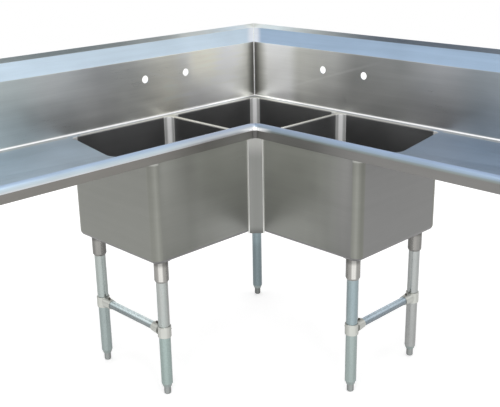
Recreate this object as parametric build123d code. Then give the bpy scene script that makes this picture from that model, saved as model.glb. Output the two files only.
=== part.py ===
# Three-bowl corner sink in stainless sheet, on five tube legs, for a commercial kitchen.
# It is drawn in a corner frame: the two splash faces meet on the Z axis, the floor is Z = 0,
# the right wing runs along +X in front of the plane Y = 0, and the left wing, its mirror
# image, runs along -Y in front of the plane X = 0. Each section is drawn in two
# coordinates: u, the distance out from the splash face, and z, the height.
# The finished pieces are moved so that the origin is on the floor under the middle.
from build123d import *
from math import atan2, degrees, hypot, sqrt
import os

os.makedirs("parts", exist_ok=True)

# ---- driving sizes, in millimetres ----
sheet = 1.6              # stainless sheet
gap = 0.3                # clearance between pieces that slide over each other
seat_gap = 0.1           # clearance between pieces pressed or clamped together
over = 1.0               # how far a cutting shape passes the face it cuts

deck_z = 891.0           # top of the deck round the bowls
bowl_size = 457.0        # inside of each square bowl
bowl_depth = 367.0       # deck to bowl floor
bowl_corner_r = 25.0     # upright corners, inside
bowl_floor_r = 19.0      # cove between wall and floor, inside
mouth_r = 6.0            # rounded edge of each bowl's mouth
ledge = 20.0             # splash face to bowl
divider = 17.0           # between two bowls
floor_border = 92.0      # level strip of floor round the pitched part
floor_pitch = 5.0        # fall from the border to the drain recess

cove_r = 9.5             # cove between splash and deck
deck_strip = 11.5        # the splash panel's own strip of deck, in front of its face
splash_rise = 252.0      # rim top to lip top
return_depth = 51.0      # the sloped return at 45 degrees, towards the wall
lip_height = 17.0        # upright lip at the wall
bend_r = 3.0             # pressed bends, on the sheet's middle

front_step = 6.0         # bowl's front wall to the rim's inner face
rim_width = 31.0
rim_roll_r = 20.0        # outside of the rolled edge
rim_crest_r = 10.0       # its inner bend
rim_turn_r = 16.0        # the rim's turn round the inner corner, at its outer face
rim_rise = 47.0          # deck to rim top
rim_drop = 49.0          # rim top to the bottom of the hem
hem_turn = 9.0
hem_r = 2.0

board_length = 610.0     # bowl to the end rim's inner face
board_flange = 10.0      # deck beyond the side bowl
valley_depth = 25.0      # how low the drainboard's crease lies at the bowl
valley_inset = 36.0      # bowl's back or front wall to where the floor starts to fall
valley_bend_r = 150.0    # soft bends of the crease
valley_margin = 12.0     # level strip kept beyond each outer bend
board_wall = 18.0        # upturned edge of the drainboard above the deck
rim_corner_r = 12.0      # inside corner between front rim and end rim

channel_depth = 22.0     # stiffening channels under a drainboard
channel_web = 44.0
channel_foot = 16.0
channel_back = 24.0      # splash face to a channel's end
channel_front = 40.0     # rim's inner face to its other end
channel_count = 2

post_width = 52.0        # sloping face of the post in the inner corner
post_flange = 6.0
post_bend_r = 6.0
post_top_r = 16.0

hole_d = 28.6            # tap holes
hole_spacing = 203.2
hole_rise = 154.0        # above the deck

leg_d = 41.3
leg_wall = 1.6
leg_inset = 46.0         # leg axis from a bowl's back or front wall
leg_end_inset = 54.0     # leg axis from the outer bowl's end wall
plate_size = 54.0
plate_thick = 4.0
plate_corner_r = 9.0
socket_d = 51.0
socket_drop = 83.0       # bowl underside to the socket's lower edge
socket_cap = 6.0         # solid top of the socket
socket_taper = 7.0       # height of the tapered lower edge
socket_lip = 0.8         # wall left at the very edge
leg_end_z = 44.0         # lower end of the tube
foot_show = 30.0         # foot below the insert, at mid travel
foot_d = 25.5
foot_dome_r = 5.0
foot_travel = 13.0       # each way
foot_spare = 2.0         # room left above the head when the foot is right in
stem_d = 16.0            # the foot's screw
stem_length = 70.0
insert_length = 80.0     # inside the tube
insert_mouth = 20.0      # pocket that takes the foot's head
insert_tip_d = 31.0

brace_z = 249.0
brace_d = 30.0
brace_wall = 1.5
collar_d = 48.5
collar_height = 42.0
collar_round_r = 2.0
boss_reach = 58.0        # leg axis to the boss's open end
boss_root_d = 42.0
boss_tip_d = 35.0
screw_d = 8.0
screw_show = 5.0
screw_socket_d = 4.0
screw_socket_depth = 3.0

cup_d = 87.0
hole_play = 1.0          # drain hole to cup, all round
flange_lap = 11.5        # flange beyond the drain hole
flange_thick = 2.0
recess_play = 2.0        # flange to the edge of its recess
recess_border = 6.0      # recess to the pitched part of the floor
drain_recess_depth = 3.0
cup_wall = 3.0
cup_step_depth = 26.0    # flange top to the basket's seat
cup_step = 4.0
cup_depth = 54.0
outlet_d = 47.8
outlet_bore_d = 38.0
outlet_length = 18.0
gasket_width = 10.0
gasket_thick = 3.0
nut_width = 4.0
nut_height = 9.0
nut_lugs = 6
lug_size = 9.0
basket_gap = 1.5
basket_rim_thick = 1.5
basket_wall = 1.2
basket_depth = 20.0
basket_slots = 12
slot_width = 3.0
slot_height = 11.0
basket_holes = 10
basket_hole_d = 5.0
hole_ring_r = 21.5
knob_d = 16.0
knob_height = 7.0
knob_round_r = 2.0
knob_post_d = 6.0
knob_rise = 14.0         # basket rim to the knob's underside

# ---- places that follow from them ----
bowl_far = ledge + bowl_size
side_near = bowl_far + divider
side_far = side_near + bowl_size
divider_mid = bowl_far + divider / 2
rim_wall = bowl_far + front_step
rim_face = rim_wall + rim_width
turn_mid = rim_face + rim_turn_r
board_start = side_far + board_flange
board_end = side_far + board_length
wing_end = board_end + rim_width
rim_top = deck_z + rim_rise
hem_z = rim_top - rim_drop
lip_top = rim_top + splash_rise
wall_u = -return_depth - sheet
floor_z = deck_z - bowl_depth
under_z = floor_z - sheet
recess_z = floor_z - floor_pitch - drain_recess_depth
drain_hole_d = cup_d + 2 * hole_play
flange_d = drain_hole_d + 2 * flange_lap
drain_recess_d = flange_d + 2 * recess_play
recess_square = drain_recess_d + 2 * recess_border
half = sheet / 2
reach = 4 * wing_end     # larger than the whole sink, for cutting tools
middle = (wing_end + wall_u) / 2

mirror_plane = Plane(origin=(0, 0, 0), z_dir=(1, 1, 0))
left_of_mitre = (
    Pos(-reach / sqrt(8), -reach / sqrt(8), 0) * Rot(0, 0, 45) * Box(reach, reach, reach)
)


# ---- helpers ----
def sheet_face(points, radii, thick=sheet):
    """Section of bent sheet: middle-line points, and the middle-line radius of each bend."""
    steps = [
        Vector(b[0] - a[0], b[1] - a[1]).normalized() for a, b in zip(points, points[1:])
    ]
    sides = {}
    for side in (1, -1):
        outline, bends = [], []
        for i, point in enumerate(points):
            before = steps[max(i - 1, 0)]
            after = steps[min(i, len(steps) - 1)]
            normal = Vector(-before.Y - after.Y, before.X + after.X)
            shift = side * thick / 2 / (1 + before.dot(after))
            outline.append((point[0] + normal.X * shift, point[1] + normal.Y * shift))
            turn = before.X * after.Y - before.Y * after.X
            inner = 0 < i < len(points) - 1
            bend = radii[i - 1] - side * thick / 2 * (1 if turn > 0 else -1) if inner else 0
            bends.append(bend)
        sides[side] = (outline, bends)
    outline = sides[1][0] + sides[-1][0][::-1]
    bends = sides[1][1] + sides[-1][1][::-1]
    return make_face(FilletPolyline(*outline, radius=bends, close=True))


def block(x0, x1, y0, y1, z0, z1):
    """Box between two corners."""
    size = Box(x1 - x0, y1 - y0, z1 - z0)
    return Pos((x0 + x1) / 2, (y0 + y1) / 2, (z0 + z1) / 2) * size


def along_wing(face, x0, x1):
    """Section of the right wing, run from x0 to x1."""
    plane = Plane(origin=(x1, 0, 0), x_dir=(0, -1, 0), z_dir=(-1, 0, 0))
    return extrude(plane * face, amount=x1 - x0)


def disc(radius, z0, z1):
    """Upright cylinder between two heights."""
    return Pos(0, 0, z0) * Cylinder(radius, z1 - z0, align=(Align.CENTER, Align.CENTER, Align.MIN))


def ring(outer_r, inner_r, z0, z1):
    """Upright ring between two heights."""
    return disc(outer_r, z0, z1) - disc(inner_r, z0 - over, z1 + over)


def rounded_tub(x0, x1, y0, y1, z0, z1, corner_r, floor_r):
    """Box with rounded upright corners and a rounded floor edge."""
    tub = block(x0, x1, y0, y1, z0, z1)
    tub = fillet(tub.edges().filter_by(Axis.Z), corner_r)
    floor_edges = tub.edges().group_by(Axis.Z)[0]
    return fillet(floor_edges, floor_r)


# ---- splash, deck and rims of the right wing ----
def splash_panel():
    """Lip, sloped return, splash face, and the cove to the deck behind the bowls."""
    slope_foot = lip_top - lip_height - return_depth
    top = [
        (-return_depth - half, lip_top),
        (-return_depth - half, lip_top - lip_height),
        (-half, slope_foot),
    ]
    coved = top + [(-half, deck_z - half), (deck_strip, deck_z - half)]
    plain = top + [(-half, deck_z + board_wall)]
    panel = along_wing(sheet_face(coved, [bend_r, bend_r, cove_r + half]), wall_u, board_start)
    panel += along_wing(sheet_face(plain, [bend_r, bend_r]), board_start, wing_end - sheet)
    panel -= left_of_mitre
    for side in (-1, 1):
        hole_x = divider_mid + side * hole_spacing / 2
        hole = Rot(90, 0, 0) * Cylinder(hole_d / 2, 2 * (sheet + over))
        panel -= Pos(hole_x, 0, deck_z + hole_rise) * hole
    return panel


def splash_end_cap():
    """Flat plate that closes the hollow behind the splash at the end of the wing."""
    outline = Polyline(
        (wall_u, hem_z),
        (wall_u, lip_top),
        (-return_depth, lip_top),
        (-return_depth, lip_top - lip_height),
        (0, lip_top - lip_height - return_depth),
        (0, hem_z),
        close=True,
    )
    return along_wing(make_face(outline), wing_end - sheet, wing_end)


def rim_face_section(base_z):
    """Rolled rim, with u measured out from its inner face."""
    points = [
        (half, base_z),
        (half, rim_top - half),
        (rim_width - half, rim_top - half),
        (rim_width - half, hem_z + half),
        (rim_width - hem_turn, hem_z + half),
    ]
    return sheet_face(points, [rim_crest_r - half, rim_roll_r - half, hem_r])


def front_rim():
    """Rolled front rim, with its half of the rounded turn at the inner corner."""
    on_deck = Pos(rim_wall, 0) * rim_face_section(deck_z)
    on_board = Pos(rim_wall, 0) * rim_face_section(deck_z + board_wall)
    rim = along_wing(on_deck, turn_mid, board_start)
    rim += along_wing(on_board, board_start, board_end - rim_corner_r)
    facing_back = Pos(rim_turn_r + rim_width, 0) * Rot(0, 180, 0) * rim_face_section(deck_z)
    turn = revolve(Plane.XZ * facing_back, Axis.Z, revolution_arc=45)
    return rim + Pos(turn_mid, -turn_mid, 0) * Rot(0, 0, 90) * turn


def end_rim():
    """Rolled rim at the end of the wing, with the rounded outer corner."""
    section = rim_face_section(deck_z + board_wall)
    straight = rim_wall - rim_corner_r
    plane = Plane(origin=(board_end, 0, 0), x_dir=(1, 0, 0), z_dir=(0, -1, 0))
    rim = extrude(plane * section, amount=straight)
    corner = revolve(Plane.XZ * (Pos(rim_corner_r, 0) * section), Axis.Z, revolution_arc=90)
    rim += Pos(board_end - rim_corner_r, -straight, 0) * Rot(0, 0, -90) * corner
    return rim


def valley_section(drop):
    """Section of the drainboard's crease at the bowl, cut off just above the deck level."""
    top = deck_z - drop
    back, front = ledge + valley_inset, bowl_far - valley_inset
    points = [
        (back - valley_margin, top),
        (back, top),
        (ledge + bowl_size / 2, top - valley_depth),
        (front, top),
        (front + valley_margin, top),
        (front + valley_margin, top + over),
        (back - valley_margin, top + over),
    ]
    bends = [0, valley_bend_r, valley_bend_r, valley_bend_r, 0, 0, 0]
    return make_face(FilletPolyline(*points, radius=bends, close=True))


def board_valley(drop):
    """Solid that shapes the creased floor: three-cornered, and shrinking to the outer end."""
    start = Plane(origin=(board_start, 0, 0), x_dir=(0, -1, 0), z_dir=(-1, 0, 0))
    section = start * valley_section(drop)
    tip = Vertex(board_end - cove_r, -ledge - bowl_size / 2, deck_z - drop)
    return loft([section, tip])


def board_tub(grow):
    """Solid drainboard hollow, grown by the sheet for its outside."""
    x0, x1 = board_start - over, board_end + grow
    tub = block(x0, x1, -rim_wall - grow, grow, deck_z - grow, rim_top)
    upright = tub.edges().filter_by(Axis.Z).group_by(Axis.X)[-1]
    floor_edges = tub.edges().group_by(Axis.Z)[0].sort_by(Axis.X)[1:]
    return fillet(upright + floor_edges, cove_r + grow) + board_valley(grow)


def drainboard():
    """Creased tray with a cove on three sides, open towards the bowl."""
    tray = board_tub(sheet) - board_tub(0)
    kept = block(board_start, wing_end, -rim_face, rim_width, under_z, deck_z + board_wall)
    return tray & kept


def board_channels():
    """Stiffening channels across the underside of the drainboard."""
    top = deck_z - sheet - half
    low = top - channel_depth + sheet
    web, foot = channel_web / 2 - half, channel_foot
    points = [(-web - foot, top), (-web, top), (-web, low), (web, low), (web, top), (web + foot, top)]
    section = sheet_face(points, [bend_r] * 4)
    length = rim_wall - channel_back - channel_front
    channels = []
    for i in range(channel_count):
        x = board_start + (board_end - board_start) * (i + 0.5) / channel_count
        plane = Plane(origin=(x, -channel_back, 0), x_dir=(1, 0, 0), z_dir=(0, -1, 0))
        channels.append(extrude(plane * section, amount=length) - board_tub(sheet))
    return channels


# ---- bowls ----
def floor_form(x0, y1, drop, recess_r):
    """Pitched part of a bowl's floor with the drain recess, both below the level border."""
    level = floor_z - drop
    pitch_top = bowl_size - 2 * floor_border
    form = loft([
        Pos(0, 0, level) * Rectangle(pitch_top, pitch_top),
        Pos(0, 0, level - floor_pitch) * Rectangle(recess_square, recess_square),
    ])
    form += disc(recess_r, level - floor_pitch - drain_recess_depth, level)
    return Pos(x0 + bowl_size / 2, y1 - bowl_size / 2, 0) * form


def bowl_blank(x0, y1, flange_x, flange_y):
    """Outside of a square bowl, still solid, with a flat flange round its top."""
    blank = rounded_tub(
        x0 - sheet, x0 + bowl_size + sheet, y1 - bowl_size - sheet, y1 + sheet,
        under_z, deck_z - half, bowl_corner_r + sheet, bowl_floor_r + sheet,
    )
    blank += floor_form(x0, y1, sheet, drain_recess_d / 2 + sheet)
    return blank + block(*flange_x, *flange_y, deck_z - sheet, deck_z)


def bend_mouth(shape, x0, y1, grow, radius):
    """Round the edges where the deck meets the four walls, which stand out by grow."""
    walls = (x0 - grow, x0 + bowl_size + grow, y1 - bowl_size - grow, y1 + grow)
    rounded = []
    for edge in shape.edges():
        box = edge.bounding_box()
        inside = min(
            box.min.X - walls[0], walls[1] - box.max.X, box.min.Y - walls[2], walls[3] - box.max.Y
        )
        if box.min.Z > deck_z - valley_depth - sheet - over and abs(inside) < gap:
            rounded.append(edge)
    return fillet(rounded, radius)


def hollow_out(blank, x0, y1):
    """Bend the mouth, empty the bowl and cut the drain hole."""
    shell = bend_mouth(blank, x0, y1, sheet, mouth_r - sheet)
    x1, y0 = x0 + bowl_size, y1 - bowl_size
    shell -= rounded_tub(x0, x1, y0, y1, floor_z, deck_z + over, bowl_corner_r, bowl_floor_r)
    shell -= floor_form(x0, y1, 0, drain_recess_d / 2)
    hole = disc(drain_hole_d / 2, recess_z - sheet - over, floor_z)
    shell -= Pos(x0 + bowl_size / 2, y1 - bowl_size / 2, 0) * hole
    return bend_mouth(shell, x0, y1, 0, mouth_r)


def side_bowl():
    """Bowl of the right wing, whose outer edge dips with the drainboard's crease."""
    flange_y = (-rim_wall - sheet, -deck_strip)
    blank = bowl_blank(side_near, -ledge, (divider_mid, board_start), flange_y)
    web = block(divider_mid, turn_mid, -turn_mid, -rim_wall, deck_z - sheet, deck_z) - left_of_mitre
    rim_edge_r = rim_turn_r + rim_width - sheet
    blank += web - Pos(turn_mid, -turn_mid, 0) * disc(rim_edge_r, under_z, rim_top)
    blank += along_wing(valley_section(sheet), side_far, board_start)
    blank -= along_wing(valley_section(0), side_far - bowl_corner_r, board_start + over)
    return hollow_out(blank, side_near, -ledge)


def corner_bowl():
    """Bowl in the corner, shared by the two wings."""
    blank = bowl_blank(ledge, -ledge, (deck_strip, divider_mid), (-divider_mid, -deck_strip))
    return hollow_out(blank, ledge, -ledge)


def corner_post():
    """Sloping post that closes the inner corner between the two side bowls."""
    bowl_face = bowl_far + sheet
    arm = bowl_face + post_width / sqrt(2)
    points = [
        (bowl_face + half, -arm - post_flange),
        (bowl_face + half, -arm),
        (arm, -bowl_face - half),
        (arm + post_flange, -bowl_face - half),
    ]
    section = sheet_face(points, [post_bend_r, post_bend_r])
    top = deck_z - mouth_r
    post = extrude(Pos(0, 0, under_z) * section, amount=top - under_z)
    width = post_width + 2 * post_flange
    outline = Pos(0, (top + under_z) / 2) * Rectangle(width, top - under_z)
    outline = fillet(outline.vertices().group_by(Axis.Y)[-1], post_top_r)
    along = Plane(origin=(0, 0, 0), x_dir=(1, 1, 0), z_dir=(1, -1, 0))
    return post & extrude(along * outline, amount=reach)


# ---- legs, feet and braces ----
leg_x = side_far - leg_end_inset
leg_front_y = -bowl_far + leg_inset
leg_back_y = -ledge - leg_inset
leg_spots = {
    "right_front": (leg_x, leg_front_y),
    "right_back": (leg_x, leg_back_y),
    "corner": (ledge + leg_inset, leg_back_y),
    "left_back": (-leg_back_y, -leg_x),
    "left_front": (-leg_front_y, -leg_x),
}
socket_top = under_z - plate_thick
socket_low = under_z - socket_drop
tube_top = socket_top - socket_cap - gap
bore_r = leg_d / 2 + gap
tube_bore_r = leg_d / 2 - leg_wall


def leg_socket():
    """Mounting plate with the socket that holds the top of a leg."""
    plate = Pos(0, 0, socket_top + plate_thick / 2) * Box(plate_size, plate_size, plate_thick)
    plate = fillet(plate.edges().filter_by(Axis.Z), plate_corner_r)
    barrel = disc(socket_d / 2, socket_low, socket_top)
    rim = barrel.edges().group_by(Axis.Z)[0]
    barrel = chamfer(rim, socket_taper, socket_d / 2 - bore_r - socket_lip)
    return plate + barrel - disc(bore_r, socket_low - over, tube_top + gap)


def foot_insert():
    """Plug in the lower end of the tube, with its tapered tip and threaded hole."""
    tip_z = foot_show
    taper = Pos(0, 0, tip_z) * Cone(
        insert_tip_d / 2, leg_d / 2, leg_end_z - tip_z, align=(Align.CENTER, Align.CENTER, Align.MIN)
    )
    plug = taper + disc(tube_bore_r - seat_gap, leg_end_z, leg_end_z + insert_length)
    plug -= disc(foot_d / 2 + gap, tip_z - over, tip_z + insert_mouth)
    return plug - disc(stem_d / 2 + gap, tip_z, leg_end_z + insert_length + over)


def foot():
    """Adjustable foot: rounded head below, screw above."""
    head_top = foot_show + insert_mouth - foot_travel - foot_spare
    head = disc(foot_d / 2, 0, head_top)
    head = fillet(head.edges().group_by(Axis.Z)[0], foot_dome_r)
    return head + disc(stem_d / 2, head_top, head_top + stem_length)


def screw_seats(side):
    """Set screws of a collar: where each axis lies, its tip, and the face it stands out of."""
    boss_x = (collar_d / 2 + boss_reach) / 2
    boss_top = (boss_root_d + boss_tip_d) / 4
    return [
        (Pos(boss_x, 0, brace_z), brace_d / 2 + seat_gap, boss_top),
        (Pos(0, 0, brace_z) * Rot(-90 * side, 0, 0), leg_d / 2 + seat_gap, collar_d / 2),
    ]


def brace_collar(turn, side):
    """Cast collar on a leg, its conical boss towards the other leg, its own screw on one side."""
    upward = (Align.CENTER, Align.CENTER, Align.MIN)
    collar = disc(collar_d / 2, brace_z - collar_height / 2, brace_z + collar_height / 2)
    collar = fillet(collar.edges(), collar_round_r)
    boss_start = leg_d / 2
    cone = Cone(boss_root_d / 2, boss_tip_d / 2, boss_reach - boss_start, align=upward)
    lying = Pos(0, 0, brace_z) * Rot(0, 90, 0)
    collar += lying * Pos(0, 0, boss_start) * cone
    collar -= lying * disc(brace_d / 2 + seat_gap, collar_d / 2, boss_reach + over)
    collar -= disc(leg_d / 2 + seat_gap, brace_z - collar_height, brace_z + collar_height)
    for place, tip, face in screw_seats(side):
        collar -= place * disc(screw_d / 2 + seat_gap, tip - over, face + screw_show)
    return Rot(0, 0, turn) * collar


def set_screws(turn, side):
    """Set screws of one collar, with their tips on the two tubes."""
    screws = []
    for place, tip, face in screw_seats(side):
        top = face + screw_show
        screw = disc(screw_d / 2, tip, top)
        screw -= disc(screw_socket_d / 2, top - screw_socket_depth, top + over)
        screws.append(Rot(0, 0, turn) * place * screw)
    return screws


def brace_tube(start, end):
    """Brace between two collars, front to back."""
    length = hypot(end[0] - start[0], end[1] - start[1]) - collar_d
    tube = ring(brace_d / 2, brace_d / 2 - brace_wall, -length / 2, length / 2)
    middle_spot = Pos((start[0] + end[0]) / 2, (start[1] + end[1]) / 2, brace_z)
    angle = degrees(atan2(end[1] - start[1], end[0] - start[0]))
    return middle_spot * Rot(0, 0, angle) * Rot(0, 90, 0) * tube


# ---- basket drains ----
flange_top = recess_z + flange_thick
seat_z = flange_top - cup_step_depth
cup_bottom = flange_top - cup_depth
cup_bore_r = cup_d / 2 - cup_wall
seat_bore_r = cup_bore_r - cup_step
drain_spots = {
    "left": (ledge + bowl_size / 2, -side_near - bowl_size / 2),
    "corner": (ledge + bowl_size / 2, -ledge - bowl_size / 2),
    "right": (side_near + bowl_size / 2, -ledge - bowl_size / 2),
}


def strainer_body():
    """Cup under the drain hole, with the flange in the recess and a threaded outlet."""
    body = disc(flange_d / 2, recess_z, flange_top) + disc(cup_d / 2, cup_bottom, flange_top)
    body += disc(outlet_d / 2, cup_bottom - outlet_length, cup_bottom)
    body -= disc(cup_bore_r, seat_z, flange_top + over)
    body -= disc(seat_bore_r, cup_bottom + cup_wall, seat_z)
    outlet_low = cup_bottom - outlet_length
    body -= disc(outlet_bore_d / 2, outlet_low - over, cup_bottom + cup_wall)
    top_edge = body.edges().filter_by(GeomType.CIRCLE).group_by(Axis.Z)[-1].sort_by(SortBy.RADIUS)
    return fillet(top_edge, flange_thick / 2)


def drain_gasket():
    """Rubber ring under the bowl, round the cup."""
    top = recess_z - sheet
    inner_r = cup_d / 2 + gap
    return ring(inner_r + gasket_width, inner_r, top - gasket_thick, top)


def lock_nut():
    """Lugged nut that draws the flange down on the bowl."""
    top = recess_z - sheet - gasket_thick
    inner_r = cup_d / 2 + gap
    outer_r = inner_r + nut_width
    nut = disc(outer_r, top - nut_height, top)
    for i in range(nut_lugs):
        spot = Rot(0, 0, 360 * i / nut_lugs) * Pos(outer_r, 0, top - nut_height / 2)
        nut += spot * Box(lug_size, lug_size * 2, nut_height)
    return nut - disc(inner_r, top - nut_height - over, top + over)


def lift_basket():
    """Perforated basket with a knob, resting on the cup's step."""
    rim_r = cup_bore_r - basket_gap
    wall_r = seat_bore_r - basket_gap
    rim_z = seat_z + basket_rim_thick
    low = seat_z - basket_depth
    basket = disc(rim_r, seat_z, rim_z) + disc(wall_r, low, seat_z)
    basket -= disc(wall_r - basket_wall, low + basket_wall, rim_z + over)
    for i in range(basket_slots):
        slot = Box(4 * basket_wall, slot_width, slot_height)
        basket -= Rot(0, 0, 360 * i / basket_slots) * Pos(wall_r, 0, low + basket_depth / 2) * slot
    for i in range(basket_holes):
        spot = Rot(0, 0, 360 * i / basket_holes) * Pos(hole_ring_r, 0, 0)
        basket -= spot * disc(basket_hole_d / 2, low - over, low + basket_wall + over)
    knob_z = rim_z + knob_rise
    knob = disc(knob_d / 2, knob_z, knob_z + knob_height)
    knob = fillet(knob.edges(), knob_round_r)
    return basket + disc(knob_post_d / 2, low, knob_z + over) + knob


# ---- the whole sink ----
pieces = {"corner_bowl": corner_bowl(), "inner_corner_post": corner_post()}

paired = {
    "splash_panel": splash_panel(),
    "splash_end_cap": splash_end_cap(),
    "bowl": side_bowl(),
    "front_rim": front_rim(),
    "end_rim": end_rim(),
    "drainboard": drainboard(),
    "board_channels": Compound(children=board_channels()),
}
for name, piece in paired.items():
    pieces["right_" + name] = piece
    pieces["left_" + name] = mirror(piece, about=mirror_plane)

leg_tube = ring(leg_d / 2, tube_bore_r, leg_end_z, tube_top)
leg_parts = {"leg_socket": leg_socket(), "leg_tube": leg_tube, "foot": foot()}
for spot, (x, y) in leg_spots.items():
    for name, piece in leg_parts.items():
        pieces[spot + "_" + name] = Pos(x, y, 0) * piece
plug = foot_insert()
pieces["foot_inserts"] = Compound(children=[Pos(x, y, 0) * plug for x, y in leg_spots.values()])

screws = []
for wing, inner_side in (("right", 1), ("left", -1)):
    ends = {end: leg_spots[wing + "_" + end] for end in ("front", "back")}
    pieces[wing + "_brace_tube"] = brace_tube(ends["front"], ends["back"])
    for end, other, side in (("front", "back", inner_side), ("back", "front", -inner_side)):
        x, y = ends[end]
        turn = degrees(atan2(ends[other][1] - y, ends[other][0] - x))
        pieces[wing + "_" + end + "_brace_collar"] = Pos(x, y, 0) * brace_collar(turn, side)
        screws += [Pos(x, y, 0) * screw for screw in set_screws(turn, side)]
pieces["collar_set_screws"] = Compound(children=screws)

drain_parts = {
    "strainer_body": strainer_body(),
    "drain_gasket": drain_gasket(),
    "drain_lock_nut": lock_nut(),
    "lift_basket": lift_basket(),
}
for spot, (x, y) in drain_spots.items():
    for name, piece in drain_parts.items():
        pieces[spot + "_" + name] = Pos(x, y, 0) * piece

for name, piece in pieces.items():
    export_step(Pos(-middle, middle, 0) * piece, "parts/" + name + ".step")
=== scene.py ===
import bpy
from math import atan2, cos, radians, sqrt
from mathutils import Euler, Matrix, Vector


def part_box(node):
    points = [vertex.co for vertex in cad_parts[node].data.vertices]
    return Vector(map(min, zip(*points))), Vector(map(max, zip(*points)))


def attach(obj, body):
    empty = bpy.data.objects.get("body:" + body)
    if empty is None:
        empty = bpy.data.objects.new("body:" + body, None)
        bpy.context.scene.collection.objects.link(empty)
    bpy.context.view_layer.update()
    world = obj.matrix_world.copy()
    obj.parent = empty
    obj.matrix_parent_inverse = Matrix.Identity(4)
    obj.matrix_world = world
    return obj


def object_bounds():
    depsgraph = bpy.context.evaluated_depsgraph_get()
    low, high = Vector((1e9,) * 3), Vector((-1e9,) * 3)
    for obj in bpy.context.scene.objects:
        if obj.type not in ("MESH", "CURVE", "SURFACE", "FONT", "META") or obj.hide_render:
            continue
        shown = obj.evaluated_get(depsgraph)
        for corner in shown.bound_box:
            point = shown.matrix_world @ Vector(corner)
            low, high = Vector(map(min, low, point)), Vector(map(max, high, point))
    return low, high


# Looks for a three-bowl corner sink: brushed stainless sheet on galvanised tube legs.
# In metres: the right wing runs along +X, the left wing along -Y, and +Z is up.

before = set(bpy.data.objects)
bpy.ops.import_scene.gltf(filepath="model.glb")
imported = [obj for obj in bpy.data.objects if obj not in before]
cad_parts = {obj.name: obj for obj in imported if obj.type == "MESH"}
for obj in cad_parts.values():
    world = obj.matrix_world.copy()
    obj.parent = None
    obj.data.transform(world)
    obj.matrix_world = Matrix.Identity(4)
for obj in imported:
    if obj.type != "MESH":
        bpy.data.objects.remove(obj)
cadLow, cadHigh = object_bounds()
bpy.ops.object.select_all(action="DESELECT")      # the loaded nodes come in selected
print("frame loaded:", len(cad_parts), "nodes")

# Places that the materials and the added pieces are worked out from.
wallToSplash = 0.0526
splashX, splashY = cadLow.x + wallToSplash, cadHigh.y - wallToSplash
splashCorner = Vector((splashX, splashY, 0))
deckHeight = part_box("corner_bowl")[1].z
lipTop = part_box("right_splash_panel")[1].z
bowlSize = 0.457
bowlCornerRadius = 0.025
returnDepth, lipHeight = 0.051, 0.017
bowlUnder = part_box("corner_leg_socket")[1].z
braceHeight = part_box("right_brace_tube")[0].z + 0.015
openSide = Vector((1, -1, 0)).normalized()
# each wing: the way it runs, and the axes of its brushing
wings = {"right": (Vector((1, 0, 0)), (1, 0)), "left": (Vector((0, -1, 0)), (0, 1))}


def srgb(red, green, blue):
    # picture value 0-255 to the linear value that a shader takes
    return tuple(((c / 255 + 0.055) / 1.055) ** 2.4 for c in (red, green, blue))


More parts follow.
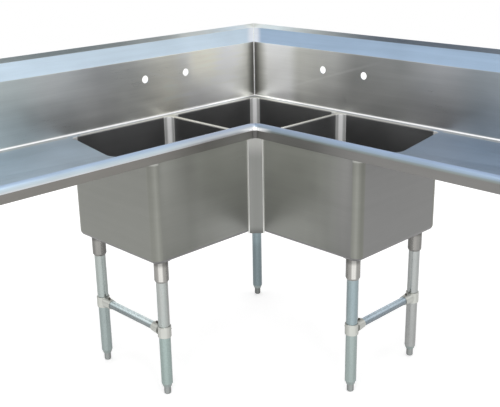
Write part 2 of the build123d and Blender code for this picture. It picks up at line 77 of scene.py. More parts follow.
class Shades:
    # one material's nodes, each placed to the right of the last
    def __init__(self, name):
        self.material = bpy.data.materials.new(name)
        self.material.use_nodes = True
        self.tree = self.material.node_tree
        self.shader = self.tree.nodes["Principled BSDF"]
        self.place = -2400

    def add(self, kind, **settings):
        node = self.tree.nodes.new(kind)
        node.location = (self.place, 0)
        self.place += 60
        for key, value in settings.items():
            setattr(node, key, value)
        return node

    def feed(self, socket, value):
        # a socket takes another node's output, a number or a colour
        if isinstance(value, bpy.types.NodeSocket):
            self.tree.links.new(value, socket)
        elif socket.type == "RGBA":
            socket.default_value = (*value, 1)
        else:
            socket.default_value = value

    def coordinates(self, scale, centre=(0, 0, 0)):
        # Object coordinates, measured from a centre and then scaled
        shift = self.add("ShaderNodeVectorMath", operation="SUBTRACT")
        self.feed(shift.inputs[0], self.add("ShaderNodeTexCoord").outputs["Object"])
        shift.inputs[1].default_value = centre
        stretch = self.add("ShaderNodeVectorMath", operation="MULTIPLY")
        self.feed(stretch.inputs[0], shift.outputs[0])
        stretch.inputs[1].default_value = scale
        return stretch.outputs[0]

    def split(self, vector):
        node = self.add("ShaderNodeSeparateXYZ")
        self.feed(node.inputs[0], vector)
        return node.outputs

    def noise(self, scale, detail=3.0, centre=(0, 0, 0)):
        node = self.add("ShaderNodeTexNoise")
        node.inputs["Scale"].default_value = 1.0
        node.inputs["Detail"].default_value = detail
        self.feed(node.inputs["Vector"], self.coordinates(scale, centre))
        return node.outputs["Fac"]

    def span(self, value, fromLow, fromHigh, toLow=0.0, toHigh=1.0, smooth=True):
        node = self.add("ShaderNodeMapRange")
        node.interpolation_type = "SMOOTHSTEP" if smooth else "LINEAR"
        numbers = {"From Min": fromLow, "From Max": fromHigh, "To Min": toLow, "To Max": toHigh}
        for key, number in numbers.items():
            node.inputs[key].default_value = number
        self.feed(node.inputs["Value"], value)
        return node.outputs["Result"]

    def ramp(self, value, stops):
        node = self.add("ShaderNodeValToRGB")
        ramp = node.color_ramp
        ramp.interpolation = "EASE"
        for index, (position, colour) in enumerate(stops):
            if index > 1:
                ramp.elements.new(position)
            ramp.elements[index].position = position
            ramp.elements[index].color = (*colour, 1)
        self.feed(node.inputs["Fac"], value)
        return node.outputs["Color"]

    def mix(self, factor, first, second):
        node = self.add("ShaderNodeMix", data_type="RGBA")
        self.feed(node.inputs[0], factor)
        self.feed(node.inputs[6], first)
        self.feed(node.inputs[7], second)
        return node.outputs[2]

    def blend(self, value, reach, first, second):
        # from the first colour to the second while the value crosses its reach
        return self.mix(self.span(value, *reach), first, second)

    def maths(self, operation, first, second=0.0):
        node = self.add("ShaderNodeMath", operation=operation)
        self.feed(node.inputs[0], first)
        self.feed(node.inputs[1], second)
        return node.outputs[0]

    def product(self, first, *others):
        for other in others:
            first = self.maths("MULTIPLY", first, other)
        return first

    def vectors(self, operation, first, second=(0, 0, 0)):
        node = self.add("ShaderNodeVectorMath", operation=operation)
        self.feed(node.inputs[0], first)
        self.feed(node.inputs[1], second)
        return node.outputs["Value" if operation == "DOT_PRODUCT" else "Vector"]

    def normal(self):
        return self.add("ShaderNodeNewGeometry").outputs["Normal"]

    def facing(self):
        # how far a face looks up: 0 upright, 1 level
        return self.split(self.normal())["Z"]

    def scaled(self, colour, tone):
        node = self.add("ShaderNodeVectorMath", operation="SCALE")
        self.feed(node.inputs[0], colour)
        self.feed(node.inputs["Scale"], tone)
        return node.outputs[0]

    def brushing(self, grain):
        # highlights spread across the grain, so the tangent lies across it
        self.feed(self.shader.inputs["Tangent"], self.vectors("CROSS_PRODUCT", self.normal(), grain))

    def bump(self, height, distance):
        node = self.add("ShaderNodeBump")
        node.inputs["Distance"].default_value = distance
        self.feed(node.inputs["Height"], height)
        self.feed(self.shader.inputs["Normal"], node.outputs["Normal"])


def putOn(material, *names):
    for name in names:
        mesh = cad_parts[name].data
        mesh.materials.clear()
        mesh.materials.append(material)


noiseRange = (0.3, 0.7)                              # where most of a noise's values lie
sheetLook = {
    "grainLength": 12.0, "grainWidth": 1100.0,       # fine brushing, per metre
    "streakLength": 1.6, "streakWidth": 45.0,        # broad soft bands of it
    "patchSize": (4.0, 4.0, 6.0),                    # hand marks and cleaning
    "patchRange": (0.35, 0.65), "grainSpread": 0.03, "patchRoughness": 0.03,
    "roughness": (0.30, 0.40), "bumpDepth": 0.00003,
    "metallic": 0.9, "brushing": 0.55,
}


def brushedSheet(name, grain, tint, streak=0.05, patch=0.04, alongGrain=(1, 0, 0)):
    # grain tells which axes the brushing runs along; tint gives the base colour
    shades = Shades(name)

    def stretched(length, width):
        return tuple(length if axis else width for axis in grain)

    fine = shades.noise(stretched(sheetLook["grainLength"], sheetLook["grainWidth"]), 2.0)
    broad = shades.noise(stretched(sheetLook["streakLength"], sheetLook["streakWidth"]), 4.0)
    marks = shades.noise(sheetLook["patchSize"], 3.0)
    spread, drift = sheetLook["grainSpread"], sheetLook["patchRoughness"]
    lift = shades.span(broad, *noiseRange, 1 - streak, 1 + streak, False)
    wiped = shades.span(marks, *sheetLook["patchRange"], 1 - patch, 1 + patch)
    combed = shades.span(fine, *noiseRange, 1 - spread, 1 + spread, False)
    shades.feed(shades.shader.inputs["Metallic"], sheetLook["metallic"])
    base = shades.scaled(tint(shades), shades.product(lift, wiped, combed))
    shades.feed(shades.shader.inputs["Base Color"], base)
    rough = shades.span(fine, *noiseRange, *sheetLook["roughness"], False)
    rough = shades.maths("ADD", rough, shades.span(marks, *noiseRange, -drift, drift))
    shades.feed(shades.shader.inputs["Roughness"], rough)
    shades.shader.inputs["Anisotropic"].default_value = sheetLook["brushing"]
    shades.brushing(alongGrain)
    shades.bump(fine, sheetLook["bumpDepth"])
    return shades.material


def fromSplashCorner(shades):
    return shades.split(shades.coordinates((1, 1, 1), splashCorner))


def fromCorner(shades, side):
    # metres along a wing from the splash corner
    place = fromSplashCorner(shades)
    return place["X"] if side == "right" else shades.maths("MULTIPLY", place["Y"], -1.0)


def fromSplash(shades, side):
    # metres out from a wing's splash face
    place = fromSplashCorner(shades)
    return place["X"] if side == "left" else shades.maths("MULTIPLY", place["Y"], -1.0)


def fromMitre(shades):
    # metres along a wing from the upright plane in which the two wings meet
    place = fromSplashCorner(shades)
    return shades.maths("ABSOLUTE", shades.maths("ADD", place["X"], place["Y"]))


def aboveFloor(shades):
    return shades.split(shades.coordinates((1, 1, 1)))["Z"]


def aboveDeck(shades):
    return shades.split(shades.coordinates((1, 1, 1), (0, 0, deckHeight)))["Z"]


def viewerSide(shades):
    # 1 where an upright surface faces the open side of the corner
    return shades.vectors("DOT_PRODUCT", shades.normal(), openSide)


def stopColours(stops, boost=1.0):
    return [(place, tuple(min(1, boost * value) for value in srgb(*colour))) for place, colour in stops]


def stopTones(stops):
    return [(place, (level, level, level)) for place, level in stops]


# a face is a ramp of painted reflection and shade along the wing, and each glint is a slope, an offset and
# its two ends
splashLook = {
    "right": {
        "face": [(0.0, (176, 177, 172)), (0.05, (202, 203, 196)), (0.12, (190, 191, 184)),
                 (0.165, (158, 158, 155)), (0.265, (150, 150, 149)), (0.35, (124, 124, 123)),
                 (0.46, (126, 126, 125)), (0.57, (138, 138, 139)), (0.69, (113, 118, 122)),
                 (1.0, (128, 136, 142))],
        "return": (158, 180, 204), "lip": (124, 132, 142), "lipReach": (0.02, 0.65),
        "seamWidth": (0.002, 0.09), "glints": [(0.32, 0.0, 0.12, 0.7)],
    },
    "left": {
        "face": [(0.0, (176, 176, 170)), (0.1, (186, 186, 178)), (0.2, (210, 207, 197)),
                 (0.3, (178, 176, 168)), (0.42, (152, 152, 149)), (0.5, (142, 142, 141)),
                 (0.61, (147, 149, 149)), (0.72, (136, 142, 142)), (1.0, (162, 172, 176))],
        "return": (192, 209, 223), "lip": (152, 160, 161), "lipReach": (0.02, 0.95),
        "seamWidth": (0.002, 0.05), "glints": [(0.295, 0.008, 0.03, 0.7), (-0.3, 0.2015, 0.36, 0.55)],
    },
    "boost": 2.2, "faceLength": 1.6, "seamShade": (150, 149, 146),
    "cove": (255, 255, 255), "coveHeight": 0.011, "coveFacing": (0.25, 0.4),
    "deck": (188, 192, 197), "deckFacing": (0.7, 0.85),
    "mitre": (220, 224, 233), "mitreWidth": (0.015, 0.05), "returnFacing": (0.3, 0.6),
    "lipNear": (232, 234, 230), "lipDrop": 0.018, "lipBlend": 0.001,
    "glintWidth": (0.001, 0.008), "glintLift": 0.16, "glintStart": 0.06, "glintEnd": 0.2,
    "wedge": (255, 252, 238), "wedgeMetal": 0.35, "wedgeFacing": (0.0, 0.5),
    "wedgeRising": (0.15, 0.26), "wedgeFalling": (0.32, 0.41), "wedgeUpward": (0.04, 0.2),
    "back": (146, 147, 144), "backFacing": (-0.3, -0.1),
}


def splashGlints(shades, side, face):
    # painted reflections: faint straight lighter lines across the face
    along, height = fromCorner(shades, side), aboveDeck(shades)
    for slope, offset, near, far in splashLook[side]["glints"]:
        line = shades.maths("ADD", shades.maths("MULTIPLY", along, slope), offset)
        away = shades.maths("ABSOLUTE", shades.maths("SUBTRACT", height, line))
        glint = shades.span(away, *splashLook["glintWidth"], splashLook["glintLift"], 0.0)
        start = shades.span(along, near, near + splashLook["glintStart"])
        end = shades.span(along, far - splashLook["glintEnd"], far, 1.0, 0.0)
        face = shades.mix(shades.product(glint, start, end), face, (1, 1, 1))
    return face


def splashFace(shades, side):
    look = splashLook[side]
    along = shades.span(fromCorner(shades, side), 0.0, splashLook["faceLength"], smooth=False)
    # painted reflection: the face grows lighter and darker along the wing, boosted above the steel's own
    # colour
    face = shades.ramp(along, stopColours(look["face"], splashLook["boost"]))
    face = splashGlints(shades, side, face)
    # painted shade along the seam where the two splash faces meet
    return shades.blend(fromMitre(shades), look["seamWidth"], srgb(*splashLook["seamShade"]), face)


def splashWedge(shades):
    # a painted reflection: the brightest patch of the left wing's splash, near the corner
    along = fromCorner(shades, "left")
    rising = shades.span(along, *splashLook["wedgeRising"])
    falling = shades.span(along, *splashLook["wedgeFalling"], 1.0, 0.0)
    upward = shades.span(aboveDeck(shades), *splashLook["wedgeUpward"])
    facing = shades.span(viewerSide(shades), *splashLook["wedgeFacing"])
    return shades.product(rising, falling, upward, facing)


def throughCove(shades, face, deck):
    # a splash face that turns through its cove into the deck: a painted highlight line in the cove and a
    # painted reflection on the level deck
    facing = shades.facing()
    face = shades.blend(facing, splashLook["coveFacing"], face, srgb(*splashLook["cove"]))
    return shades.blend(facing, splashLook["deckFacing"], face, srgb(*deck))


def splashTint(side):
    look = splashLook[side]

    def tint(shades):
        face = splashFace(shades, side)
        if side == "left":
            # painted reflection: the wedge is whiter and less metallic than the face around it
            wedge = splashWedge(shades)
            face = shades.mix(wedge, face, srgb(*splashLook["wedge"]))
            metal = shades.span(wedge, 0.0, 1.0, sheetLook["metallic"], splashLook["wedgeMetal"])
            shades.feed(shades.shader.inputs["Metallic"], metal)
        height = aboveFloor(shades)
        # painted light: the lip whitens towards the corner, and the sloped return wears a painted sky
        # reflection, whiter along the mitre
        lipFoot, lipBlend = lipTop - splashLook["lipDrop"], splashLook["lipBlend"]
        lipNear, mitre = srgb(*splashLook["lipNear"]), srgb(*splashLook["mitre"])
        lip = shades.blend(fromCorner(shades, side), look["lipReach"], lipNear, srgb(*look["lip"]))
        upright = shades.blend(height, (lipFoot - lipBlend, lipFoot + lipBlend), face, lip)
        sloped = shades.blend(fromMitre(shades), splashLook["mitreWidth"], mitre, srgb(*look["return"]))
        upper = shades.blend(shades.facing(), splashLook["returnFacing"], upright, sloped)
        lower = throughCove(shades, face, splashLook["deck"])
        coveTop = deckHeight + splashLook["coveHeight"]
        low = shades.span(height, coveTop, coveTop + splashLook["coveHeight"], 1.0, 0.0)
        front = shades.mix(low, upper, lower)
        # faces turned away from the open side keep a plain tone, without the painted light of the front
        return shades.blend(viewerSide(shades), splashLook["backFacing"], srgb(*splashLook["back"]), front)

    return tint


# painted reflection: each wing's level tray is a light blue-grey of its own, its sloped edges darker, and the
# strip along the splash lighter
boardLook = {
    "left": (168, 184, 198), "right": (148, 166, 187), "edge": (130, 132, 130), "trayFacing": (0.3, 0.9),
    "strip": (184, 188, 190), "stripWidth": (0.018, 0.026),
}


def boardTint(side):
    def tint(shades):
        # painted reflection on the level tray and painted shade on its sloped edges; the strip takes the
        # splash's painted light
        edge, level = srgb(*boardLook["edge"]), srgb(*boardLook[side])
        tray = shades.blend(shades.facing(), boardLook["trayFacing"], edge, level)
        strip = throughCove(shades, splashFace(shades, side), boardLook["strip"])
        return shades.blend(fromSplash(shades, side), boardLook["stripWidth"], strip, tray)

    return tint


# heights and drops are measured from the deck, and reaches along a wing from the splash corner; the colours
# paint light and shade over the steel
bowlLook = {
    "left": [(0.0, (147, 148, 144)), (0.1, (158, 159, 155)), (0.25, (160, 161, 157)),
             (0.55, (150, 151, 146)), (0.7, (138, 139, 134)), (0.87, (134, 135, 130)),
             (1.0, (126, 127, 122))],
    "right": [(0.0, (150, 151, 147)), (0.1, (157, 158, 154)), (0.22, (159, 160, 155)),
              (0.5, (156, 157, 152)), (0.62, (152, 153, 148)), (0.75, (142, 143, 139)),
              (0.85, (137, 137, 135)), (1.0, (123, 123, 122))],
    "frontReach": (0.48, 0.95),
    "outerCorner": {
        "left": [(0.3, (126, 127, 121)), (0.6, (126, 127, 121)), (0.75, (130, 131, 125)),
                 (0.9, (136, 137, 131)), (1.0, (130, 131, 125))],
        "right": [(0.2, (130, 131, 125)), (0.49, (136, 137, 131)), (0.62, (134, 135, 129)),
                  (0.75, (125, 126, 120)), (0.95, (116, 117, 111))],
    },
    "rise": [(0.0, 0.54), (0.06, 0.62), (0.25, 0.69), (0.5, 0.75), (0.8, 0.86), (1.0, 0.97)],
    "riseHeight": (-0.369, -0.019), "riseBoost": 1.3, "endReach": (0.9, 0.94), "endRise": (0.75, 0.75, 0.75),
    "cap": (172, 173, 168), "capDrop": (-0.023, -0.017),
    "under": (116, 115, 116), "underFacing": (-0.5, -0.2),
    "inside": (138, 138, 139), "insideBlend": (-0.03, 0.03), "heartDepth": 0.1,
    "corner": [(0.7, (212, 212, 211)), (0.85, (184, 184, 184)), (0.93, (216, 216, 215)),
               (0.975, (255, 255, 255))],
    "cornerEdge": (-0.006, -0.001), "cornerMetallic": 0.1,
    "ledge": (212, 212, 205), "ledgeFacing": (0.5, 0.9), "ledgeDrop": (-0.05, -0.04),
    "boardReach": (0.895, 0.925),
}


def bowlCentre(node):
    # a basket lies under the middle of each bowl
    low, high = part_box(node.replace("_bowl", "_lift_basket"))
    return Vector(((low.x + high.x) / 2, (low.y + high.y) / 2, 0))


def bowlRounding(shades, node):
    # 1 in a bowl's rounded upright corners, 0 on its flat walls
    half = bowlSize / 2 - bowlCornerRadius
    plan = shades.coordinates((1, 1, 0), bowlCentre(node))
    past = shades.split(shades.vectors("SUBTRACT", shades.vectors("ABSOLUTE", plan), (half, half, 0)))
    return shades.span(shades.maths("MINIMUM", past["X"], past["Y"]), *bowlLook["cornerEdge"])


def bowlOutside(shades, side, rounded, along, height):
    # painted light and shade: the outside is lighter and darker along the wing
    reach = shades.span(along, *bowlLook["frontReach"], smooth=False)
    front = shades.ramp(reach, stopColours(bowlLook[side]))
    # painted highlight down the rounded outer corners, lighter still at their top
    turned = shades.ramp(shades.split(shades.normal())["X"], stopColours(bowlLook["outerCorner"][side]))
    turned = shades.blend(height, bowlLook["capDrop"], turned, srgb(*bowlLook["cap"]))
    # painted shade: the outside darkens towards the bottom
    climb = shades.span(height, *bowlLook["riseHeight"], smooth=False)
    rise = shades.ramp(climb, stopTones(bowlLook["rise"]))
    rise = shades.blend(along, bowlLook["endReach"], rise, bowlLook["endRise"])
    front = shades.scaled(shades.vectors("MULTIPLY", front, rise), bowlLook["riseBoost"])
    front = shades.mix(rounded, front, turned)
    # painted shade on faces that look down
    return shades.blend(shades.facing(), bowlLook["underFacing"], srgb(*bowlLook["under"]), front)


def bowlTint(node, side):
    def tint(shades):
        rounded, along, height = bowlRounding(shades, node), fromCorner(shades, side), aboveDeck(shades)
        # a wall that faces the heart of the bowl is on its inside
        heart = bowlCentre(node) + Vector((0, 0, deckHeight - bowlLook["heartDepth"]))
        outward = shades.vectors("DOT_PRODUCT", shades.normal(), shades.coordinates((1, 1, 1), heart))
        within = shades.span(outward, *bowlLook["insideBlend"], 1.0, 0.0)
        # painted highlight: bright strips down the inside rounded corners, less metallic there, beside the
        # painted shade of the inside walls
        corner = shades.ramp(shades.maths("ABSOLUTE", viewerSide(shades)), stopColours(bowlLook["corner"]))
        inside = shades.mix(rounded, srgb(*bowlLook["inside"]), corner)
        cornerHighlight = shades.maths("MULTIPLY", within, rounded)
        metal = shades.span(cornerHighlight, 0.0, 1.0, sheetLook["metallic"], bowlLook["cornerMetallic"])
        shades.feed(shades.shader.inputs["Metallic"], metal)
        upright = shades.mix(within, bowlOutside(shades, side, rounded, along, height), inside)
        # painted light: the level ledge round the mouth is pale, turning into the board's painted reflection
        ledge, board = srgb(*bowlLook["ledge"]), srgb(*boardLook[side])
        ledge = shades.blend(along, bowlLook["boardReach"], ledge, board)
        level = shades.span(shades.facing(), *bowlLook["ledgeFacing"])
        top = shades.maths("MULTIPLY", level, shades.span(height, *bowlLook["ledgeDrop"]))
        return shades.mix(top, upright, ledge)

    return tint


# each rim: painted reflection on its roll, painted light and shade on its face
rimLook = {
    "left": {
        "roll": [(0.0, (216, 216, 222)), (0.12, (200, 206, 210)), (0.4, (194, 208, 216)),
                 (1.0, (166, 187, 212))],
        "face": (122, 120, 116), "near": (150, 149, 147), "rollNear": (1.0, 0.91, 0.88),
    },
    "right": {
        "roll": [(0.0, (124, 126, 120)), (0.25, (140, 149, 150)), (0.55, (152, 170, 188)),
                 (1.0, (152, 172, 200))],
        "face": (124, 123, 121), "near": (134, 133, 131), "rollNear": (0.87, 0.85, 0.82),
    },
    "nearReach": (0.5, 0.85), "rollReach": (0.7, 1.0), "rollFacing": (0.01, 0.08),
    "mitreHighlight": (252, 252, 252), "mitreHighlightWidth": (0.015, 0.09), "mitreHighlightFacing": (0.3, 0.7),
    "turned": (96, 95, 94), "turnWidth": (0.008, 0.02),
}


def rimTint(side):
    look = rimLook[side]

    def tint(shades):
        mitre, facing, along = fromMitre(shades), shades.facing(), fromCorner(shades, side)
        # painted light: the face is lighter towards the corner, with painted shade along the mitre
        face = shades.blend(along, rimLook["nearReach"], srgb(*look["near"]), srgb(*look["face"]))
        face = shades.blend(mitre, rimLook["turnWidth"], srgb(*rimLook["turned"]), face)
        # painted reflection: the roll's colour follows how far it looks up, toned down near the corner
        roll = shades.ramp(facing, stopColours(look["roll"]))
        nearRoll = shades.vectors("MULTIPLY", roll, look["rollNear"])
        roll = shades.blend(along, rimLook["rollReach"], nearRoll, roll)
        # painted highlight: the low side of the roll is white where the two rims meet
        high = shades.span(facing, *rimLook["mitreHighlightFacing"])
        plain = shades.maths("MAXIMUM", shades.span(mitre, *rimLook["mitreHighlightWidth"]), high)
        roll = shades.mix(plain, srgb(*rimLook["mitreHighlight"]), roll)
        return shades.blend(facing, rimLook["rollFacing"], face, roll)

    return tint


postLook = {
    "face": (131, 132, 129), "faceFacing": (0.9, 0.97), "top": (166, 166, 163), "topReach": (-0.09, -0.012),
    "foot": (-0.369, -0.34), "footTone": 0.6,
    "bend": (246, 246, 243), "bendFacing": (0.64, 0.74), "flange": (150, 150, 146),
}


def postTint(shades):
    # the post's face looks along the diagonal; painted highlights on its two bends, painted light towards its
    # top and painted shade at its foot
    front, height = viewerSide(shades), aboveDeck(shades)
    bent = shades.blend(front, postLook["bendFacing"], srgb(*postLook["flange"]), srgb(*postLook["bend"]))
    face = shades.blend(height, postLook["topReach"], srgb(*postLook["face"]), srgb(*postLook["top"]))
    face = shades.scaled(face, shades.span(height, *postLook["foot"], postLook["footTone"], 1.0))
    return shades.blend(front, postLook["faceFacing"], bent, face)


def plainTint(*colour):
    return lambda shades: srgb(*colour)


backingColour = (126, 127, 124)
grainTilt = Vector((0.01, 0.01, 0.01))      # keeps the grain off every face's own normal
for side, (direction, grainAxes) in wings.items():
    alongWing, acrossWing = (*grainAxes, 0), (*reversed(grainAxes), 0)
    grainLine = tuple(direction + grainTilt)
    crossLine = (grainLine[1], grainLine[0], grainLine[2])
    steel = brushedSheet(side + "SplashSteel", alongWing, splashTint(side), alongGrain=grainLine)
    putOn(steel, side + "_splash_panel")
    steel = brushedSheet(side + "BowlSteel", (1, 1, 0), bowlTint(side + "_bowl", side), 0.02, 0.03, grainLine)
    putOn(steel, side + "_bowl")
    steel = brushedSheet(side + "RimSteel", alongWing, rimTint(side), alongGrain=grainLine)
    putOn(steel, side + "_front_rim")
    steel = brushedSheet(side + "EndRimSteel", acrossWing, rimTint(side), alongGrain=crossLine)
    putOn(steel, side + "_end_rim")
    steel = brushedSheet(side + "BoardSteel", alongWing, boardTint(side), 0.03, alongGrain=grainLine)
    putOn(steel, side + "_drainboard")
    steel = brushedSheet(side + "BackingSteel", acrossWing, plainTint(*backingColour), alongGrain=crossLine)
    putOn(steel, side + "_splash_end_cap", side + "_board_channels")
steel = brushedSheet(
    "cornerBowlSteel", (1, 1, 0), bowlTint("corner_bowl", "right"), 0.02, 0.03, (1.0, 0.3, 0.02))
putOn(steel, "corner_bowl")
putOn(brushedSheet("cornerPostSteel", (0, 0, 1), postTint, 0.04, 0.03, (0.02, 0.01, 1)), "inner_corner_post")
print("sheet done")


wornRange, topFacing, tubeJoin = (0.25, 0.75), (0.4, 0.7), 0.02


def castOrTube(name, look):
    # tube, castings and small fittings: soft blotches, fine tooth and a second, worn colour
    shades = Shades(name)
    blotch = shades.noise(look["blotch"], 4.0)
    tooth = shades.noise(look["tooth"], 2.0)
    spread = look["spread"]
    tone = shades.span(blotch, *noiseRange, 1 - spread, 1 + spread)
    tinted = shades.blend(blotch, wornRange, srgb(*look["colour"]), srgb(*look["worn"]))
    if "shine" in look:
        # a painted lengthwise highlight between painted darker edges, over the tube's own colour
        turn = shades.facing() if look["lying"] else viewerSide(shades)
        shine = shades.ramp(turn, stopTones(look["shine"]))
        tone = shades.product(tone, shades.split(shine)["X"], look["strength"])
    # painted light on faces that look up
    if "topLift" in look:
        tone = shades.product(tone, shades.span(shades.facing(), *topFacing, 1.0, look["topLift"]))
    if "crown" in look:
        # painted shade: a socket is darker where it meets the bowl
        tone = shades.product(tone, shades.span(aboveFloor(shades), *look["crown"], 1.0, look["crownTone"]))
    if "lower" in look:
        # a leg's tone changes at its brace
        join = (braceHeight - tubeJoin, braceHeight + tubeJoin)
        tinted = shades.blend(aboveFloor(shades), join, srgb(*look["lower"]), tinted)
    shades.feed(shades.shader.inputs["Base Color"], shades.scaled(tinted, tone))
    shades.feed(shades.shader.inputs["Roughness"], shades.span(tooth, *noiseRange, *look["rough"], False))
    shades.shader.inputs["Metallic"].default_value = look["metallic"]
    shades.bump(tooth, look["bump"])
    return shades.material


# painted highlight and shade across a tube: each stop is how far it faces the open side, and a tone
tubeShine = [(0.0, 0.34), (0.35, 0.42), (0.7, 0.5), (0.9, 0.52), (0.97, 0.6), (1.0, 0.62)]
galvanised = {
    "rough": (0.24, 0.34), "blotch": (26, 26, 5), "spread": 0.04, "metallic": 1.0,
    "tooth": (600, 600, 90), "bump": 0.00002, "shine": tubeShine, "lying": False, "strength": 1.62,
}
# a lying tube's stops follow how far it looks up: a painted highlight along its top, painted shade beneath
lyingTube = {
    "rough": (0.22, 0.32), "blotch": (12, 12, 26), "spread": 0.05, "metallic": 0.3, "tooth": (90, 90, 600),
    "bump": 0.00002, "lying": True, "strength": 2.5,
    "shine": [(0.0, 0.23), (0.12, 0.29), (0.3, 0.27), (0.45, 0.36), (0.6, 0.75), (0.72, 1.0), (1.0, 1.0)],
}
# the sockets' painted highlight, and the painted shade at their crown
socketSatin = {
    "colour": (158, 157, 154), "worn": (166, 164, 160), "rough": (0.2, 0.28), "blotch": (60, 60, 6),
    "spread": 0.04, "metallic": 1.0, "tooth": (60, 60, 1400), "bump": 0.00002, "lying": False,
    "shine": [(0.0, 0.16), (0.35, 0.27), (0.75, 0.4), (0.92, 0.46), (0.985, 0.95)], "strength": 1.75,
    "crown": (bowlUnder - 0.028, bowlUnder - 0.012), "crownTone": 0.55,
}
footPlating = {
    "colour": (160, 164, 163), "worn": (138, 141, 140), "rough": (0.3, 0.42), "blotch": (90, 90, 90),
    "spread": 0.08, "metallic": 0.9, "tooth": (200, 200, 4000), "bump": 0.0001, "lying": False,
    "shine": [(0.0, 0.28), (0.5, 0.4), (0.9, 0.56), (0.98, 0.66)], "strength": 1.7,
}
# each leg's upper and lower tone; the legs differ as lit and shaded copies, painted light and shade, the
# corner leg darkest
legTones = {
    "left_front": ((176, 178, 176), (160, 175, 172)), "left_back": ((170, 176, 173), (158, 169, 168)),
    "right_front": ((150, 165, 170), (162, 174, 172)), "right_back": ((168, 172, 171), (168, 170, 169)),
    "corner": ((142, 157, 162), (127, 140, 144)),
}
fittings = {
    "socketSteel": socketSatin,
    "shadedSocketSteel": {**socketSatin, "shine": [(0.0, 0.16), (0.35, 0.27), (0.75, 0.4), (0.985, 0.62)],
                          "strength": 1.2},
    "insertZinc": {**galvanised, "colour": (158, 168, 166), "worn": (150, 158, 157)},
    "leftBraceTube": {"colour": (148, 160, 162), "worn": (160, 170, 172), **lyingTube},
    "rightBraceTube": {"colour": (144, 159, 169), "worn": (152, 165, 174), **lyingTube, "topLift": 0.78},
    # the collars' topLift is painted light on their upward faces
    "castAlloy": {
        "colour": (206, 208, 202), "worn": (192, 193, 188), "rough": (0.42, 0.56), "blotch": (40, 40, 40),
        "spread": 0.05, "metallic": 0.8, "tooth": (900, 900, 900), "bump": 0.00012, "lying": False,
        "shine": [(0.0, 0.36), (0.4, 0.46), (0.8, 0.54), (0.97, 0.64)], "strength": 1.66, "topLift": 1.5},
    "footPlating": footPlating,
    "shadedFootPlating": {**footPlating, "strength": 1.0},
    "screwPlating": {
        "colour": (108, 106, 100), "worn": (86, 82, 76), "rough": (0.35, 0.5), "blotch": (300, 300, 300),
        "spread": 0.1, "metallic": 0.9, "tooth": (1500, 1500, 1500), "bump": 0.00003},
    "drainPolish": {
        "colour": (188, 189, 190), "worn": (176, 176, 176), "rough": (0.14, 0.24), "blotch": (30, 30, 30),
        "spread": 0.04, "metallic": 1.0, "tooth": (1200, 1200, 1200), "bump": 0.00001},
    "nutZinc": {
        "colour": (146, 147, 148), "worn": (134, 134, 132), "rough": (0.4, 0.55), "blotch": (80, 80, 80),
        "spread": 0.06, "metallic": 0.9, "tooth": (800, 800, 800), "bump": 0.00006},
    "rubber": {
        "colour": (36, 36, 37), "worn": (44, 43, 42), "rough": (0.6, 0.75), "blotch": (120, 120, 120),
        "spread": 0.12, "metallic": 0.0, "tooth": (900, 900, 900), "bump": 0.00005},
}
for spot, (upper, lower) in legTones.items():
    worn = tuple((above + below) / 2 for above, below in zip(upper, lower))
    fittings[spot + "Tube"] = {**galvanised, "colour": upper, "worn": worn, "lower": lower}
finishes = {name: castOrTube(name, look) for name, look in fittings.items()}
# what each ending of a node's name wears, where a later ending overrides an earlier one
wearers = {
    "_leg_socket": "socketSteel", "_back_leg_socket": "shadedSocketSteel", "foot_inserts": "insertZinc",
    "left_brace_tube": "leftBraceTube", "right_brace_tube": "rightBraceTube",
    "_brace_collar": "castAlloy", "_foot": "footPlating", "corner_foot": "shadedFootPlating",
    "collar_set_screws": "screwPlating",
    "_strainer_body": "drainPolish", "_lift_basket": "drainPolish",
    "_drain_lock_nut": "nutZinc", "_drain_gasket": "rubber",
}
wearers.update({spot + "_leg_tube": spot + "Tube" for spot in legTones})
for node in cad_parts:
    for ending, finish in wearers.items():
        if node.endswith(ending):
            putOn(finishes[finish], node)
print("fittings done")

# ground weld up the corner where the two splash panels meet, in metres
seamWeld = {"radius": 0.0024, "flats": 10, "sunk": 0.0008, "above": 0.008, "mitreTurn": 45, "smoothTo": 50}
# the bead's near-white, non-metal colour is a painted highlight on the ground weld
weldLook = {
    "colour": (255, 255, 252), "worn": (214, 216, 218), "rough": (0.3, 0.45), "blotch": (300, 300, 60),
    "spread": 0.05, "metallic": 0.0, "tooth": (700, 700, 500), "bump": 0.00005,
}


def weldUpTheCorner():
    # drawn in its own upright plane, from the cove to the lip, then turned into the corner
    foot = lipTop - lipHeight - returnDepth
    low = deckHeight + seamWeld["above"]
    bpy.ops.mesh.primitive_circle_add(
        vertices=seamWeld["flats"], radius=seamWeld["radius"], fill_type="NGON", location=(0, 0, low))
    weld = bpy.context.object
    weld.name = "splash_seam_weld"
    run = returnDepth * sqrt(2)
    bend = atan2(run, returnDepth) / 2
    steps = [(0, 0, foot - low), (-run, 0, returnDepth), (0, 0, lipHeight - seamWeld["radius"])]
    place = Vector((0, 0, low))
    bpy.ops.object.mode_set(mode="EDIT")
    bpy.ops.mesh.select_all(action="SELECT")
    for step in steps:
        bpy.ops.mesh.extrude_region_move(TRANSFORM_OT_translate={"value": step})
        place += Vector(step)
        if step != steps[-1]:
            # the end is turned and widened, so that the bead keeps its width round the bend
            bpy.ops.transform.rotate(value=bend, orient_axis="Y", center_override=place)
            bpy.ops.transform.resize(value=(1 / cos(bend), 1, 1), center_override=place)
    bpy.ops.mesh.select_all(action="SELECT")
    bpy.ops.mesh.normals_make_consistent(inside=False)
    bpy.ops.object.mode_set(mode="OBJECT")
    bpy.ops.transform.rotate(value=radians(seamWeld["mitreTurn"]), orient_axis="Z", center_override=(0, 0, 0))
    bpy.ops.transform.translate(value=splashCorner + openSide * seamWeld["sunk"])
    bpy.ops.object.transform_apply(location=True, rotation=True, scale=True)
    bpy.ops.object.shade_smooth_by_angle(angle=radians(seamWeld["smoothTo"]))
    return weld


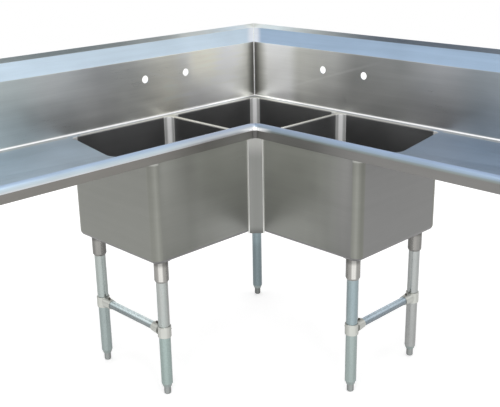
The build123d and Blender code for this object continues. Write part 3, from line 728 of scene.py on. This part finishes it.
weld = weldUpTheCorner()
weld.data.materials.append(castOrTube("weldSteel", weldLook))
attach(weld, "sink")
print("added pieces done")

cameraSettings = {
    "place": (1.8164, -1.81146, 1.64016), "heading": 45.5, "tilt": 71.24, "roll": -1.02,
    "lens": 61.695, "sensor": 36,
}
lens = bpy.data.cameras.new("camera")
lens.lens = cameraSettings["lens"]
lens.sensor_width = cameraSettings["sensor"]
camera = bpy.data.objects.new("camera", lens)
bpy.context.scene.collection.objects.link(camera)
aim = Euler((radians(cameraSettings["tilt"]), 0, radians(cameraSettings["heading"]))).to_matrix()
aim = aim @ Matrix.Rotation(radians(cameraSettings["roll"]), 3, "Z")
camera.matrix_world = Matrix.Translation(cameraSettings["place"]) @ aim.to_4x4()
bpy.context.scene.camera = camera

stageSettings = {
    "skyLight": 0.8, "floorSize": 14.0, "floorGlow": 0.46, "floorWear": (3, 3, 3),
    "floorTones": ((0.86, 0.86, 0.86), (0.92, 0.92, 0.92)), "floorRoughness": 0.7, "floorSpecular": 0.2,
}
# each lamp: its place, what it points at, its size, its power and its colour
lampSettings = {
    "overheadLamp": ((0.3, -0.3, 3.4), (-0.3, 0.3, 0.8), 2.4, 14, (0.94, 0.98, 1.0)),
    "leftKeyLamp": ((1.1, -2.5, 3.3), (-0.2, 0.2, 0.8), 0.9, 15, (1.0, 0.99, 0.97)),
    "rightKeyLamp": ((2.5, -1.1, 3.3), (-0.2, 0.2, 0.8), 0.9, 15, (1.0, 0.99, 0.97)),
}


def backgroundRay(tree):
    # 1 for what the camera, metal or glass sees directly
    path = tree.nodes.new("ShaderNodeLightPath")
    seen = path.outputs["Is Camera Ray"]
    for other in ("Is Glossy Ray", "Is Transmission Ray"):
        both = tree.nodes.new("ShaderNodeMath")
        both.operation = "MAXIMUM"
        tree.links.new(seen, both.inputs[0])
        tree.links.new(path.outputs[other], both.inputs[1])
        seen = both.outputs[0]
    return seen


def softSky():
    world = bpy.data.worlds.new("sky")
    bpy.context.scene.world = world
    world.use_nodes = True
    tree = world.node_tree
    background = tree.nodes["Background"]
    background.inputs["Color"].default_value = (1, 1, 1, 1)
    strength = tree.nodes.new("ShaderNodeMapRange")
    strength.inputs["To Min"].default_value = stageSettings["skyLight"]
    strength.inputs["To Max"].default_value = 1.0
    tree.links.new(backgroundRay(tree), strength.inputs["Value"])
    tree.links.new(strength.outputs["Result"], background.inputs["Strength"])


def paleFloor():
    bpy.ops.mesh.primitive_plane_add(size=stageSettings["floorSize"], location=(0, 0, 0))
    floor = bpy.context.object
    floor.name = "floor"
    shades = Shades("paleFloor")
    wear = shades.noise(stageSettings["floorWear"], 4.0)
    shades.feed(shades.shader.inputs["Base Color"], shades.mix(wear, *stageSettings["floorTones"]))
    shades.shader.inputs["Roughness"].default_value = stageSettings["floorRoughness"]
    shades.shader.inputs["Specular IOR Level"].default_value = stageSettings["floorSpecular"]
    shades.shader.inputs["Emission Color"].default_value = (1, 1, 1, 1)
    glow = shades.maths("MULTIPLY", backgroundRay(shades.tree), stageSettings["floorGlow"])
    shades.feed(shades.shader.inputs["Emission Strength"], glow)
    floor.data.materials.append(shades.material)


def softLamp(name, place, target, size, power, colour):
    lamp = bpy.data.lights.new(name, "AREA")
    lamp.shape = "DISK"
    lamp.size = size
    lamp.energy = power
    lamp.color = colour
    holder = bpy.data.objects.new(name, lamp)
    bpy.context.scene.collection.objects.link(holder)
    holder.location = place
    holder.rotation_euler = (Vector(target) - Vector(place)).to_track_quat("-Z", "Y").to_euler()


softSky()
paleFloor()
for lampName, settings in lampSettings.items():
    softLamp(lampName, *settings)
bpy.context.scene.view_settings.view_transform = "Standard"
print("stage done")
